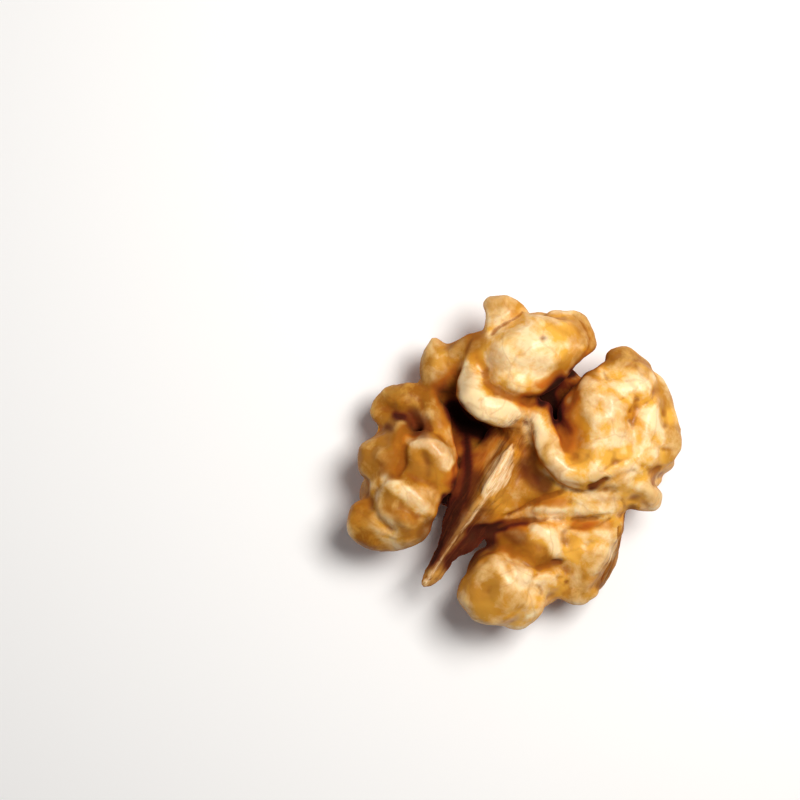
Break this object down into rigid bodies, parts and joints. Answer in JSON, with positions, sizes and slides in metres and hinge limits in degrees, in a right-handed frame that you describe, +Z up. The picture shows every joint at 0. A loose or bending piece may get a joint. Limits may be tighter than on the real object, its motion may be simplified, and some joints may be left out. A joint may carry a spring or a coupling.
{
  "type": "walnut kernel",
  "caption": "Shelled walnut kernel half: rounded lobes and folds round deep valleys, with a pointed germ flap, lying on its rounded back with the inner face up",
  "frame": {"origin": "on the surface that the kernel rests on, under the middle of its outline", "axes": "+Z up, out of the inner face; +Y away from the tip of the germ flap, which points to -Y; +X to the right with the tip towards the viewer"},
  "size_m": [0.0302, 0.0322, 0.0128],
  "materials": {
    "walnut_skin": "glossy thin golden-brown skin, darker red-brown in the valleys"
  },
  "bodies": {
    "root": {"kernel": "walnut_skin"}
  },
  "joints": []
}
